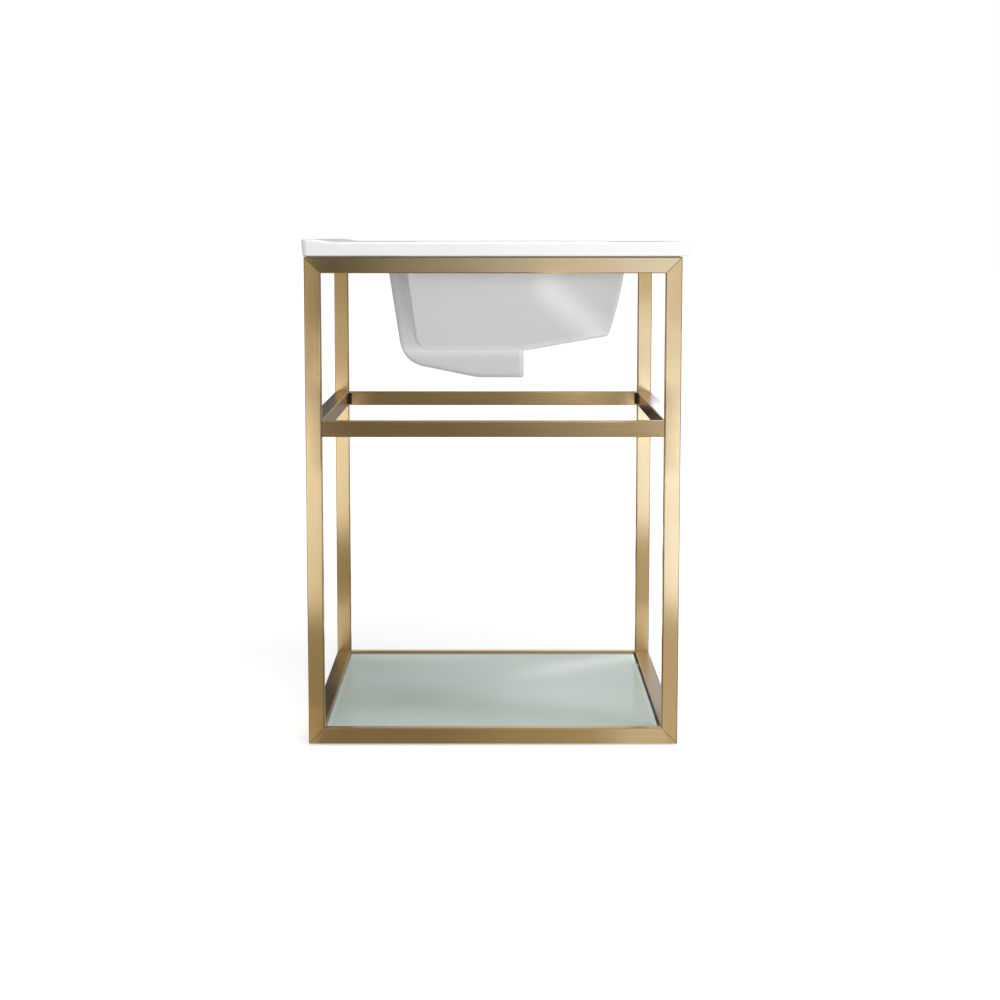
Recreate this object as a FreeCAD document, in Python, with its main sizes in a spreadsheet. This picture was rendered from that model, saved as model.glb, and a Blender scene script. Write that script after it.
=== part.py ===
"""Open console vanity unit: a metal tube stand, a ceramic sink top and a glass shelf.

Millimetres, +Z up, +X to the right and +Y to the back. The origin is on the floor,
under the middle of the sink top.
"""
import FreeCAD
import Part
import Sketcher
import os
import re

VECTOR = FreeCAD.Vector

# Two places this close count as one
NEAR = 1e-4

# Driving sizes: alias, millimetres, what it measures
SIZES = [
    ("deck_overhang", 8.0, "mean overhang of the sink top past the stand"),
    ("stand_height", 770.0, "height of the stand without its feet"),
    ("stand_shift", 4.5, "how far the stand sits to the left of the sink top's middle"),
    ("tube_face", 25.4, "width of the flat tube as seen from the front"),
    ("tube_depth", 12.7, "depth of the flat tube"),
    ("side_tube", 25.4, "width and height of the square side tube"),
    ("tube_wall", 1.2, "wall of every tube"),
    ("tube_edge_radius", 2.0, "outside corner radius of every tube"),
    ("middle_rail_height", 490.0, "stand's underside to the middle rails' underside"),
    ("wall_hole_spacing", 400.0, "distance between the two wall screws"),
    ("wall_hole_diameter", 6.5, "clearance hole for a wall screw"),
    ("glass_thickness", 8.0, "thickness of the glass shelf"),
    ("glass_clearance", 2.0, "mean gap from the glass to the rails around it"),
    ("glass_shift", 1.5, "how far the glass lies to the left of the stand's middle"),
    ("glass_recess", 3.5, "depth of the glass below the tops of the rails"),
    ("glass_corner_radius", 4.0, "plan radius of the glass corners"),
    ("glass_arris", 0.8, "bevel ground along the glass edges"),
    ("tab_length", 30.0, "length of a shelf tab along its rail"),
    ("tab_reach", 22.0, "how far a shelf tab reaches under the glass"),
    ("tab_thickness", 2.0, "thickness of a shelf tab"),
    ("tab_end_distance", 70.0, "middle of a side tab to the rail at its end of the shelf"),
    ("pad_diameter", 10.0, "diameter of a shelf pad"),
    ("pad_height", 1.5, "height of a shelf pad"),
    ("glide_diameter", 20.0, "diameter of a levelling foot"),
    ("glide_height", 3.0, "height of a levelling foot"),
    ("glide_flats", 17.0, "width across the spanner flats of a levelling foot"),
    ("glide_chamfer", 0.6, "bevel around the sole of a levelling foot"),
    ("glide_socket", 2.0, "depth of the socket that holds the stud"),
    ("stud_diameter", 8.0, "diameter of a levelling stud"),
    ("stud_clearance", 0.05, "radial clearance of a stud in its nut and in its foot"),
    ("stud_hole_clearance", 0.5, "radial clearance of a stud in the tube wall"),
    ("stud_spare", 1.0, "stud left above the nut at full travel"),
    ("nut_flats", 13.0, "width across the flats of a weld nut"),
    ("nut_height", 6.5, "height of a weld nut"),
    ("leveller_travel", 10.0, "how far a foot screws out"),
    ("leveller_inset", 45.0, "end of a side rail to the middle of its foot"),
    ("bed_thickness", 1.0, "thickness of the silicone bed under the sink top"),
    ("bed_width", 8.0, "width of the silicone bed"),
    ("bed_inset", 2.3, "outside of the stand to the outside of the silicone bed"),
    ("deck_width", 600.0, "width of the sink top"),
    ("deck_depth", 460.0, "depth of the sink top"),
    ("deck_thickness", 22.0, "thickness of the sink top's deck"),
    ("deck_side_draft", 2.5, "how far each end of the deck leans in towards its underside"),
    ("deck_corner_radius", 9.0, "plan radius of the deck's corners"),
    ("deck_top_radius", 4.0, "rounding of the deck's upper edge"),
    ("deck_bottom_radius", 2.0, "rounding of the deck's lower edge"),
    ("lip_height", 4.0, "height of the raised lip at the left end"),
    ("lip_width", 12.0, "flat top of the raised lip"),
    ("lip_ramp", 42.0, "width of the slope from the lip down to the deck"),
    ("bowl_left", 144.0, "deck's middle to the bowl's left wall, at the deck's underside"),
    ("bowl_right", 204.0, "deck's middle to the bowl's right wall, at the deck's underside"),
    ("bowl_front", 170.0, "deck's middle to the bowl's front wall, at the deck's underside"),
    ("bowl_back", 120.0, "deck's middle to the bowl's back wall, at the deck's underside"),
    ("bowl_wall", 11.0, "wall and floor of the bowl"),
    ("bowl_floor_rise", 24.0, "how far the bowl's floor rises to its right end"),
    ("bowl_left_draft", 18.0, "how far the left wall leans in"),
    ("bowl_right_draft", 25.0, "how far the right wall leans in"),
    ("bowl_front_draft", 18.0, "how far the front and back walls lean in"),
    ("bowl_right_curve", 520.0, "radius of the right wall's outward curve"),
    ("bowl_heel_radius", 24.0, "rounding where the left wall meets the floor, outside"),
    ("bowl_toe_radius", 9.0, "rounding where the right wall meets the floor, outside"),
    ("bowl_floor_radius", 150.0, "rounding where the floor begins to rise, outside"),
    ("bowl_edge_radius", 5.0, "rounding around the front and back walls, outside"),
    ("bowl_inner_heel_radius", 34.0, "rounding of the left and right ends, inside"),
    ("bowl_inner_edge_radius", 24.0, "rounding around the front and back walls, inside"),
    ("rim_radius", 8.0, "rounding from the deck into the bowl"),
    ("drain_offset", 7.5, "drain's axis to the right of the deck's middle"),
    ("drain_diameter", 45.0, "bore of the drain"),
    ("drain_seat_diameter", 64.0, "recess for the drain's flange"),
    ("drain_seat_depth", 3.0, "depth of the recess for the drain's flange"),
    ("boss_diameter", 74.0, "outside of the drain boss"),
    ("boss_depth", 224.0, "deck to the underside of the drain boss"),
    ("boss_drop", 50.0, "underside of the bowl near the drain to the underside of the boss"),
    ("boss_edge_radius", 3.0, "rounding of the drain boss's lower edge"),
    ("channel_reach", 32.4, "how far the overflow channel stands out from the bowl"),
    ("channel_setback", 19.0, "bowl's front and back walls to those of the overflow channel"),
    ("channel_wall", 9.0, "wall of the overflow channel"),
    ("channel_lean", 27.8, "how far the overflow channel leans in on its way down"),
    ("channel_knee_rise", 31.6, "underside of the boss up to the overflow channel's knee"),
    ("channel_knee_radius", 46.0, "rounding of the overflow channel's knee"),
    ("channel_bend_radius", 100.0, "rounding where the overflow channel meets the boss"),
    ("channel_edge_radius", 8.0, "rounding along the overflow channel's sides"),
    ("channel_end_radius", 4.0, "rounding of the overflow channel's lower right edge"),
    ("channel_step", 7.0, "underside of the boss to the channel's underside beside it"),
    ("passage_top", 36.0, "deck to the upper end of the overflow passage"),
    ("passage_cover", 1.0, "ceramic left between the bowl's outside and the passage"),
    ("passage_slot", 24.0, "width of the overflow's way into the drain"),
    ("overflow_diameter", 24.0, "overflow hole in the bowl's left wall"),
    ("overflow_drop", 52.0, "deck to the middle of the overflow hole"),
    ("tap_hole_diameter", 35.0, "hole for a single tap"),
    ("tap_setback", 60.0, "back of the deck to the middle of the tap hole"),
    ("cut_overrun", 1.0, "how far a cut runs past the face that it opens"),
]
ALIASES = {alias for alias, _, _ in SIZES}
SHEET_NAME = "Sizes"

document = FreeCAD.newDocument("vanity_unit")
sheet = document.addObject("Spreadsheet::Sheet", SHEET_NAME)
for row, (alias, millimetres, meaning) in enumerate(SIZES, start=1):
    sheet.set(f"A{row}", meaning)
    sheet.set(f"B{row}", str(millimetres))
    sheet.setAlias(f"B{row}", alias)
document.recompute()

sub_parts = []


# Formulas in the sheet's words
def number(formula):
    """The value of a formula written with the sheet's aliases."""
    return float(sheet.evalExpression(formula))


def bind(owner, property_name, formula):
    """Tie a property to a formula written with the sheet's aliases."""
    def qualified(match):
        word = match.group()
        return f"{SHEET_NAME}.{word}" if word in ALIASES else word
    owner.setExpression(property_name, re.sub(r"[a-z_]+", qualified, formula))


def place(owner, x="0", y="0", z="0", turn=None):
    """Put an object at a place given by formulas, after an optional turn."""
    if turn is not None:
        owner.Placement = FreeCAD.Placement(VECTOR(), turn)
    for axis, formula in zip("xyz", (x, y, z)):
        bind(owner, f"Placement.Base.{axis}", formula)


def sub_part(owner, label):
    """Name a finished piece and list it for the hand-over."""
    owner.Label = label
    sub_parts.append(owner)
    return owner


# Sketches and features
def new_body(name):
    return document.addObject("PartDesign::Body", name)


def new_sketch(body, name, plane):
    """A sketch on one of the body's own origin planes."""
    sketch = body.newObject("Sketcher::SketchObject", name)
    support = next(item for item in body.Origin.OriginFeatures if item.Role == plane)
    sketch.AttachmentSupport = (support, [""])
    sketch.MapMode = "FlatFace"
    return sketch


def dimension(sketch, formula, *constraint):
    """Add a sketch dimension and tie it to a formula."""
    index = sketch.addConstraint(Sketcher.Constraint(*constraint, number(formula)))
    bind(sketch, f"Constraints[{index}]", formula)


def draw_outline(sketch, corners):
    """A closed outline through corners given by formulas.

    A corner is (x, y), and a straight line runs on to the next corner. With a radius
    and a side, left or right, an arc that bulges to that side of its way runs on.
    """
    points = [VECTOR(number(corner[0]), number(corner[1]), 0) for corner in corners]
    first = sketch.GeometryCount
    starts = []
    for index, corner in enumerate(corners):
        start = points[index]
        end = points[(index + 1) % len(points)]
        if len(corner) == 2:
            sketch.addGeometry(Part.LineSegment(start, end))
        else:
            half = (end - start) * 0.5
            outward = VECTOR(half.y, -half.x, 0).normalize()
            if corner[3] == "left":
                outward = outward * -1
            radius = number(corner[2])
            rise = radius - (radius ** 2 - half.Length ** 2) ** 0.5
            sketch.addGeometry(Part.Arc(start, start + half + outward * rise, end))
        begins = (sketch.getPoint(first + index, 1) - start).Length
        finishes = (sketch.getPoint(first + index, 2) - start).Length
        starts.append(1 if begins < finishes else 2)
    for index, corner in enumerate(corners):
        here = first + index
        after = (index + 1) % len(corners)
        sketch.addConstraint(Sketcher.Constraint(
            "Coincident", here, 3 - starts[index], first + after, starts[after]))
        dimension(sketch, corner[0], "DistanceX", -1, 1, here, starts[index])
        dimension(sketch, corner[1], "DistanceY", -1, 1, here, starts[index])
        if len(corner) > 2:
            dimension(sketch, corner[2], "Radius", here)


def draw_rounded_rectangle(sketch, wide, tall, corner_radius):
    """A rectangle with round corners, centred on the sketch's origin."""
    radius = number(corner_radius)
    inner_x = number(wide) / 2 - radius
    inner_y = number(tall) / 2 - radius
    first = sketch.GeometryCount
    lower_left = VECTOR(-inner_x, -inner_y, 0)
    lower_right = VECTOR(inner_x, -inner_y, 0)
    upper_right = VECTOR(inner_x, inner_y, 0)
    upper_left = VECTOR(-inner_x, inner_y, 0)
    down = VECTOR(0, -radius, 0)
    out = VECTOR(radius, 0, 0)
    sides = [
        (lower_left + down, lower_right + down, lower_right),
        (lower_right + out, upper_right + out, upper_right),
        (upper_right - down, upper_left - down, upper_left),
        (upper_left - out, lower_left - out, lower_left),
    ]
    for index, (start, end, centre) in enumerate(sides):
        next_start = sides[(index + 1) % len(sides)][0]
        outward = (end - centre) + (next_start - centre)
        middle = centre + outward.normalize() * radius
        sketch.addGeometry(Part.LineSegment(start, end))
        sketch.addGeometry(Part.Arc(end, middle, next_start))
    count = 2 * len(sides)
    for index in range(count):
        sketch.addConstraint(Sketcher.Constraint(
            "Tangent", first + index, 2, first + (index + 1) % count, 1))
    for index, direction in ((0, "Horizontal"), (2, "Vertical"), (4, "Horizontal"), (6, "Vertical")):
        sketch.addConstraint(Sketcher.Constraint(direction, first + index))
    for index in (3, 5, 7):
        sketch.addConstraint(Sketcher.Constraint("Equal", first + 1, first + index))
    sketch.addConstraint(Sketcher.Constraint("Symmetric", first + 1, 3, first + 5, 3, -1, 1))
    dimension(sketch, corner_radius, "Radius", first + 1)
    dimension(sketch, wide, "DistanceX", first + 6, 1, first + 2, 1)
    dimension(sketch, tall, "DistanceY", first, 1, first + 4, 1)


def draw_circle(sketch, diameter, x="0", y="0"):
    """A circle at a place given by formulas."""
    centre = VECTOR(number(x), number(y), 0)
    index = sketch.addGeometry(Part.Circle(centre, VECTOR(0, 0, 1), number(diameter) / 2))
    dimension(sketch, diameter, "Diameter", index)
    dimension(sketch, x, "DistanceX", -1, 1, index, 3)
    dimension(sketch, y, "DistanceY", -1, 1, index, 3)


def pad(body, sketch, length, symmetric=False):
    """Extrude a sketch."""
    feature = body.newObject("PartDesign::Pad", "Pad")
    feature.Profile = sketch
    if symmetric:
        feature.SideType = "Symmetric"
    bind(feature, "Length", length)
    document.recompute()
    return feature


def pocket_through(body, sketch):
    """Cut a sketch right through the body, both ways."""
    feature = body.newObject("PartDesign::Pocket", "Pocket")
    feature.Profile = sketch
    feature.SideType = "Symmetric"
    feature.Type = "ThroughAll"
    document.recompute()
    return feature


def pocket_up(body, sketch, length):
    """Cut a sketch on the lowest plane of the body upwards by a length."""
    feature = body.newObject("PartDesign::Pocket", "Pocket")
    feature.Profile = sketch
    feature.Reversed = True
    bind(feature, "Length", length)
    document.recompute()
    return feature


def edge_names(shape, test):
    """Names of the edges that pass a test."""
    return [f"Edge{index}" for index, edge in enumerate(shape.Edges, start=1) if test(edge)]


def middle_of(edge):
    return edge.valueAt((edge.FirstParameter + edge.LastParameter) / 2)


def round_edges(body, test, radius):
    """Round the edges of the body that pass a test."""
    base = body.Tip
    names = edge_names(base.Shape, test)
    feature = body.newObject("PartDesign::Fillet", "Fillet")
    feature.Base = (base, names)
    bind(feature, "Radius", radius)
    document.recompute()
    return feature


def bevel_edges(body, test, size):
    """Bevel the edges of the body that pass a test."""
    base = body.Tip
    names = edge_names(base.Shape, test)
    feature = body.newObject("PartDesign::Chamfer", "Chamfer")
    feature.Base = (base, names)
    bind(feature, "Size", size)
    document.recompute()
    return feature


def box(name, length, width, height):
    """A plain block with bound sizes."""
    block = document.addObject("Part::Box", name)
    bind(block, "Length", length)
    bind(block, "Width", width)
    bind(block, "Height", height)
    return block


def cylinder(name, diameter, height):
    """A plain upright cylinder with bound sizes."""
    rod = document.addObject("Part::Cylinder", name)
    bind(rod, "Radius", f"({diameter}) / 2")
    bind(rod, "Height", height)
    return rod


def cut(name, base, tool):
    """One object less another."""
    result = document.addObject("Part::Cut", name)
    result.Base = base
    result.Tool = tool
    return result


def group(name, pieces):
    """Several separate solids in one node."""
    compound = document.addObject("Part::Compound", name)
    compound.Links = pieces
    return sub_part(compound, name)


# Places that many pieces share
STAND_WIDTH = "(deck_width - 2 * deck_overhang)"
STAND_DEPTH = "(deck_depth - 2 * deck_overhang)"
STAND_LEFT = f"(-stand_shift - {STAND_WIDTH} / 2)"
STAND_RIGHT = f"(-stand_shift + {STAND_WIDTH} / 2)"
STAND_MIDDLE = "(-stand_shift)"
STAND_FRONT = f"(-{STAND_DEPTH} / 2)"
STAND_BACK = f"({STAND_DEPTH} / 2)"
STAND_BOTTOM = "glide_height"
STAND_TOP = "(glide_height + stand_height)"
DECK_LEVEL = f"({STAND_TOP} + bed_thickness + deck_thickness)"
SHELF_WIDTH = f"({STAND_WIDTH} - 2 * side_tube)"
SHELF_DEPTH = f"({STAND_DEPTH} - 2 * tube_depth)"
GLASS_UNDERSIDE = f"({STAND_BOTTOM} + tube_face - glass_recess - glass_thickness)"
SIDES = ("left", "right")
ENDS = ("front", "back")


# Tubes of the stand
def hollow_section(body, wide, tall):
    """The tube's section, centred on the body's axis."""
    section = new_sketch(body, "Section", "XY_Plane")
    draw_rounded_rectangle(section, wide, tall, "tube_edge_radius")
    draw_rounded_rectangle(
        section,
        f"{wide} - 2 * tube_wall",
        f"{tall} - 2 * tube_wall",
        "tube_edge_radius - tube_wall")
    return section


def mitred_tube(label, length, turn, x, y, z):
    """A flat tube with both ends mitred, its short side towards the body's own +X."""
    body = new_body(label)
    pad(body, hollow_section(body, "tube_face", "tube_depth"), length)
    low = "(-tube_face / 2 - cut_overrun)"
    high = "(tube_face / 2 + cut_overrun)"
    near_end = [
        (low, "-cut_overrun"),
        (high, "-cut_overrun"),
        (high, "tube_face + cut_overrun"),
    ]
    far_end = [
        (low, f"{length} + cut_overrun"),
        (high, f"{length} - tube_face - cut_overrun"),
        (high, f"{length} + cut_overrun"),
    ]
    for name, corners in (("NearMitre", near_end), ("FarMitre", far_end)):
        sketch = new_sketch(body, name, "XZ_Plane")
        draw_outline(sketch, corners)
        pocket_through(body, sketch)
    place(body, x, y, z, turn)
    return sub_part(body, label)


def straight_tube(label, wide, tall, length, turn, x, y, z):
    """A tube with square ends along the body's own +Z."""
    body = new_body(label)
    pad(body, hollow_section(body, wide, tall), length)
    place(body, x, y, z, turn)
    return sub_part(body, label)


def axes(x_axis, y_axis, z_axis):
    """The turn that takes a body's own axes to these directions."""
    return FreeCAD.Rotation(VECTOR(*x_axis), VECTOR(*y_axis), VECTOR(*z_axis), "ZXY")


UPRIGHT_INWARD_RIGHT = axes((1, 0, 0), (0, 1, 0), (0, 0, 1))
UPRIGHT_INWARD_LEFT = axes((-1, 0, 0), (0, -1, 0), (0, 0, 1))
ALONG_X_INWARD_UP = axes((0, 0, 1), (0, -1, 0), (1, 0, 0))
ALONG_X_INWARD_DOWN = axes((0, 0, -1), (0, 1, 0), (1, 0, 0))
ALONG_Y = axes((1, 0, 0), (0, 0, -1), (0, 1, 0))

FRAME_MIDDLE = {
    "front": f"{STAND_FRONT} + tube_depth / 2",
    "back": f"{STAND_BACK} - tube_depth / 2",
}
LEG_MIDDLE = {
    "left": f"{STAND_LEFT} + tube_face / 2",
    "right": f"{STAND_RIGHT} - tube_face / 2",
}
LEG_TURN = {"left": UPRIGHT_INWARD_RIGHT, "right": UPRIGHT_INWARD_LEFT}
SIDE_RAIL_MIDDLE = {
    "left": f"{STAND_LEFT} + side_tube / 2",
    "right": f"{STAND_RIGHT} - side_tube / 2",
}
SIDE_RAIL_UNDERSIDE = {
    "top": f"{STAND_TOP} - side_tube",
    "middle": f"{STAND_BOTTOM} + middle_rail_height",
    "bottom": STAND_BOTTOM,
}


def drill_wall_holes(rail):
    """Two screw holes through the rail, front to back."""
    sketch = new_sketch(rail, "WallHoles", "XZ_Plane")
    for sign in ("-", "+"):
        along = f"{STAND_WIDTH} / 2 {sign} wall_hole_spacing / 2"
        draw_circle(sketch, "wall_hole_diameter", "0", along)
    pocket_through(rail, sketch)


def drill_stud_holes(rail):
    """A hole in the rail's underside for each of its two levelling studs."""
    sketch = new_sketch(rail, "StudHoles", "XZ_Plane")
    bind(sketch, "AttachmentOffset.Base.z", "-side_tube / 2 - cut_overrun")
    for along in ("leveller_inset", f"{SHELF_DEPTH} - leveller_inset"):
        draw_circle(sketch, "stud_diameter + 2 * stud_hole_clearance", "0", along)
    pocket_up(rail, sketch, "tube_wall + 2 * cut_overrun")


for end in ENDS:
    for side in SIDES:
        mitred_tube(
            f"{end}_{side}_leg", "stand_height", LEG_TURN[side],
            LEG_MIDDLE[side], FRAME_MIDDLE[end], STAND_BOTTOM)
    mitred_tube(
        f"{end}_bottom_rail", STAND_WIDTH, ALONG_X_INWARD_UP,
        STAND_LEFT, FRAME_MIDDLE[end], f"{STAND_BOTTOM} + tube_face / 2")
    top_rail = mitred_tube(
        f"{end}_top_rail", STAND_WIDTH, ALONG_X_INWARD_DOWN,
        STAND_LEFT, FRAME_MIDDLE[end], f"{STAND_TOP} - tube_face / 2")
    if end == "back":
        drill_wall_holes(top_rail)
    straight_tube(
        f"{end}_middle_rail", "tube_face", "tube_depth", f"{STAND_WIDTH} - 2 * tube_face",
        ALONG_X_INWARD_UP, f"{STAND_LEFT} + tube_face", FRAME_MIDDLE[end],
        f"{STAND_BOTTOM} + middle_rail_height + tube_face / 2")

for side in SIDES:
    for level, underside in SIDE_RAIL_UNDERSIDE.items():
        rail = straight_tube(
            f"{side}_{level}_rail", "side_tube", "side_tube", SHELF_DEPTH, ALONG_Y,
            SIDE_RAIL_MIDDLE[side], f"{STAND_FRONT} + tube_depth", f"{underside} + side_tube / 2")
        if level == "bottom":
            drill_stud_holes(rail)


# Glass shelf with its tabs and pads
glass = new_body("shelf_glass")
glass_outline = new_sketch(glass, "Outline", "XY_Plane")
draw_rounded_rectangle(
    glass_outline,
    f"{SHELF_WIDTH} - 2 * glass_clearance",
    f"{SHELF_DEPTH} - 2 * glass_clearance",
    "glass_corner_radius")
pad(glass, glass_outline, "glass_thickness")


def is_level(edge):
    """Whether an edge lies in a level plane."""
    return edge.BoundBox.ZLength < NEAR


bevel_edges(glass, is_level, "glass_arris")
place(glass, f"{STAND_MIDDLE} - glass_shift", "0", GLASS_UNDERSIDE)
sub_part(glass, "shelf_glass")

TAB_TOP = f"({GLASS_UNDERSIDE} - pad_height)"
tabs = []
pads = []


def add_tab(name, length, width, x, y):
    """A flat tab welded to a bottom rail, with a round pad on its middle."""
    tab = box(f"{name}_tab", length, width, "tab_thickness")
    place(tab, x, y, f"{TAB_TOP} - tab_thickness")
    tabs.append(tab)
    cushion = cylinder(f"{name}_pad", "pad_diameter", "pad_height")
    place(cushion, f"{x} + {length} / 2", f"{y} + {width} / 2", TAB_TOP)
    pads.append(cushion)


SIDE_TAB_X = {
    "left": f"{STAND_LEFT} + side_tube",
    "right": f"{STAND_RIGHT} - side_tube - tab_reach",
}
SIDE_TAB_Y = {
    "front": f"{STAND_FRONT} + tube_depth + tab_end_distance - tab_length / 2",
    "back": f"{STAND_BACK} - tube_depth - tab_end_distance - tab_length / 2",
}
END_TAB_Y = {
    "front": f"{STAND_FRONT} + tube_depth",
    "back": f"{STAND_BACK} - tube_depth - tab_reach",
}
for end in ENDS:
    for side in SIDES:
        add_tab(f"{end}_{side}", "tab_reach", "tab_length", SIDE_TAB_X[side], SIDE_TAB_Y[end])
    add_tab(f"{end}_middle", "tab_length", "tab_reach", f"{STAND_MIDDLE} - tab_length / 2", END_TAB_Y[end])
group("shelf_tabs", tabs)
group("shelf_pads", pads)


# Levelling feet under the ends of the bottom side rails
STUD_HOLE = "(stud_diameter + 2 * stud_clearance)"
LEVELLER_Y = {
    "front": f"{STAND_FRONT} + tube_depth + leveller_inset",
    "back": f"{STAND_BACK} - tube_depth - leveller_inset",
}
nuts = []


def weld_nut(name, x, y):
    """A hexagon nut welded inside the rail, over its stud hole."""
    hexagon = document.addObject("Part::Prism", f"{name}_hexagon")
    hexagon.Polygon = 6
    bind(hexagon, "Circumradius", "nut_flats / sqrt(3)")
    bind(hexagon, "Height", "nut_height")
    bore = cylinder(f"{name}_bore", STUD_HOLE, "nut_height + 2 * cut_overrun")
    place(bore, z="-cut_overrun")
    nut = cut(f"{name}_nut", hexagon, bore)
    place(nut, x, y, f"{STAND_BOTTOM} + tube_wall")
    nuts.append(nut)


def levelling_stud(name, x, y):
    """A plain stud from the foot's socket up through the nut."""
    stud = cylinder(
        f"{name}_stud", "stud_diameter",
        "glide_socket + tube_wall + nut_height + leveller_travel + stud_spare")
    place(stud, x, y, "glide_height - glide_socket")
    sub_part(stud, f"{name}_stud")


def levelling_glide(name, x, y):
    """A round foot with two spanner flats and a socket for its stud."""
    glide = new_body(f"{name}_glide")
    disc = new_sketch(glide, "Disc", "XY_Plane")
    draw_circle(disc, "glide_diameter")
    pad(glide, disc, "glide_height")
    flats = new_sketch(glide, "Flats", "XY_Plane")
    for sign in ("", "-"):
        near = f"{sign}(glide_flats / 2)"
        far = f"{sign}(glide_diameter / 2 + cut_overrun)"
        left = "-(glide_diameter / 2 + cut_overrun)"
        right = "(glide_diameter / 2 + cut_overrun)"
        draw_outline(flats, [(left, near), (right, near), (right, far), (left, far)])
    pocket_through(glide, flats)
    bevel_edges(glide, lambda edge: edge.BoundBox.ZMax < NEAR, "glide_chamfer")
    socket = new_sketch(glide, "Socket", "XY_Plane")
    bind(socket, "AttachmentOffset.Base.z", "glide_height - glide_socket")
    draw_circle(socket, STUD_HOLE)
    pocket_up(glide, socket, "glide_socket + cut_overrun")
    place(glide, x, y, "0")
    sub_part(glide, f"{name}_glide")


for end in ENDS:
    for side in SIDES:
        spot = (SIDE_RAIL_MIDDLE[side], LEVELLER_Y[end])
        weld_nut(f"{end}_{side}", *spot)
        levelling_stud(f"{end}_{side}", *spot)
        levelling_glide(f"{end}_{side}", *spot)
group("leveller_nuts", nuts)


# Silicone bed between the top rails and the sink top
bed = new_body("sink_bed")
bed_outline = new_sketch(bed, "Outline", "XY_Plane")
draw_rounded_rectangle(
    bed_outline,
    f"{STAND_WIDTH} - 2 * bed_inset",
    f"{STAND_DEPTH} - 2 * bed_inset",
    "bed_width + bed_inset")
draw_rounded_rectangle(
    bed_outline,
    f"{STAND_WIDTH} - 2 * bed_inset - 2 * bed_width",
    f"{STAND_DEPTH} - 2 * bed_inset - 2 * bed_width",
    "bed_inset")
pad(bed, bed_outline, "bed_thickness")
place(bed, STAND_MIDDLE, "0", STAND_TOP)
sub_part(bed, "sink_bed")


# Sink top, drawn with its deck at level zero and depths counted downwards
DRAIN_Y = "((bowl_back - bowl_front) / 2)"
BOWL_DEPTH = "(boss_depth - boss_drop)"
BOWL_END_DEPTH = f"({BOWL_DEPTH} - bowl_floor_rise)"
BOWL_HEIGHT = f"({BOWL_DEPTH} - deck_thickness)"
BOSS_LEFT = "(drain_offset - boss_diameter / 2)"
BOSS_RIGHT = "(drain_offset + boss_diameter / 2)"
DECK_EDGE_SHARE = 0.25


def left_wall(depth, inset):
    """Where the bowl's left wall is at a depth below the deck."""
    return f"(-bowl_left + bowl_left_draft * ({depth} - deck_thickness) / {BOWL_HEIGHT} + {inset})"


def right_wall(depth, inset):
    """Where the bowl's right wall is at a depth below the deck."""
    height = f"({BOWL_END_DEPTH} - deck_thickness)"
    return f"(bowl_right - bowl_right_draft * ({depth} - deck_thickness) / {height} - {inset})"


def front_wall(depth, inset):
    """Where the bowl's front wall is at a depth below the deck."""
    return f"(-bowl_front + bowl_front_draft * ({depth} - deck_thickness) / {BOWL_HEIGHT} + {inset})"


def back_wall(depth, inset):
    """Where the bowl's back wall is at a depth below the deck."""
    return f"(bowl_back - bowl_front_draft * ({depth} - deck_thickness) / {BOWL_HEIGHT} - {inset})"


def runs_along_y(x, z):
    """A test for the edge that runs front to back through a place."""
    def test(edge):
        middle = middle_of(edge)
        return abs(middle.x - number(x)) < NEAR and abs(middle.z - number(z)) < NEAR
    return test


def around_walls(body, skipped):
    """A test for the edges around a body's front and back walls, less those skipped."""
    faces = body.Tip.Shape.Faces
    walls = [
        min(faces, key=lambda face: face.CenterOfMass.y),
        max(faces, key=lambda face: face.CenterOfMass.y),
    ]
    wanted = {edge.hashCode() for wall in walls for edge in wall.Edges if not skipped(middle_of(edge))}
    return lambda edge: edge.hashCode() in wanted


def deck_form():
    """The flat deck with its raised left lip and rounded edges."""
    body = new_body("deck_form")
    profile = new_sketch(body, "Profile", "XZ_Plane")
    swell = "(lip_ramp ^ 2 + lip_height ^ 2) / (4 * lip_height)"
    draw_outline(profile, [
        ("-deck_width / 2 + deck_side_draft", "-deck_thickness"),
        ("deck_width / 2 - deck_side_draft", "-deck_thickness"),
        ("deck_width / 2", "0"),
        ("-deck_width / 2 + lip_width + lip_ramp", "0", swell, "left"),
        ("-deck_width / 2 + lip_width + lip_ramp / 2", "lip_height / 2", swell, "right"),
        ("-deck_width / 2 + lip_width", "lip_height"),
        ("-deck_width / 2", "lip_height"),
    ])
    pad(body, profile, "deck_depth", symmetric=True)
    half_wide = number("deck_width / 2")
    half_deep = number("deck_depth / 2")
    near_edge = number("deck_corner_radius / 2 + deck_side_draft")
    edge_level = -DECK_EDGE_SHARE * number("deck_thickness")

    def at_side(point):
        return abs(point.x) > half_wide - near_edge

    def at_end(point):
        return abs(point.y) > half_deep - near_edge

    def upright(edge):
        middle = middle_of(edge)
        return at_side(middle) and at_end(middle) and not is_level(edge)

    def upper(edge):
        middle = middle_of(edge)
        return (at_side(middle) or at_end(middle)) and middle.z > edge_level

    def lower(edge):
        return edge.BoundBox.ZMax < number("-deck_thickness") + NEAR

    round_edges(body, upright, "deck_corner_radius")
    round_edges(body, upper, "deck_top_radius")
    round_edges(body, lower, "deck_bottom_radius")
    return body


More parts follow.
